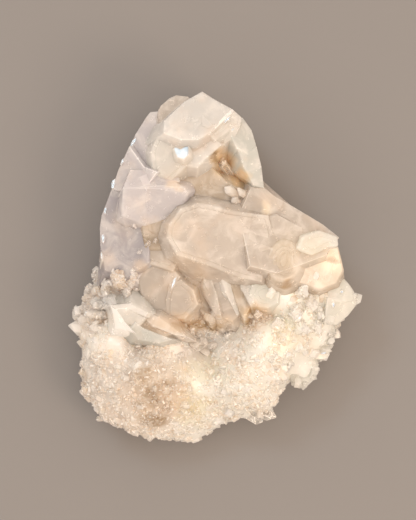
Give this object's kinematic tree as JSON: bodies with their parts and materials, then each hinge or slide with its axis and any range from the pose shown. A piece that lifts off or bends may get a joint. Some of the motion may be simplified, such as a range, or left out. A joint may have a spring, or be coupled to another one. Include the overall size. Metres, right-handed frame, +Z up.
{
  "type": "quartz crystal cluster",
  "caption": "Hand-sized quartz specimen: intergrown crystals with flat faces and short points over a sugary druse, on a root that is sawn flat to rest on.",
  "frame": {"origin": "centre of the bounding box, on the plane of the flat sawn base", "axes": "+Z up from the sawn base; +Y along the specimen's long way, towards its tall lobe; +X to the right when the tall lobe is at the top"},
  "size_m": [0.0884, 0.11, 0.0429],
  "materials": {
    "quartz": "vitreous, milky to clear, with cream, lilac and iron-brown tints"
  },
  "bodies": {
    "root": {"quartz_cluster": "quartz"}
  },
  "joints": []
}
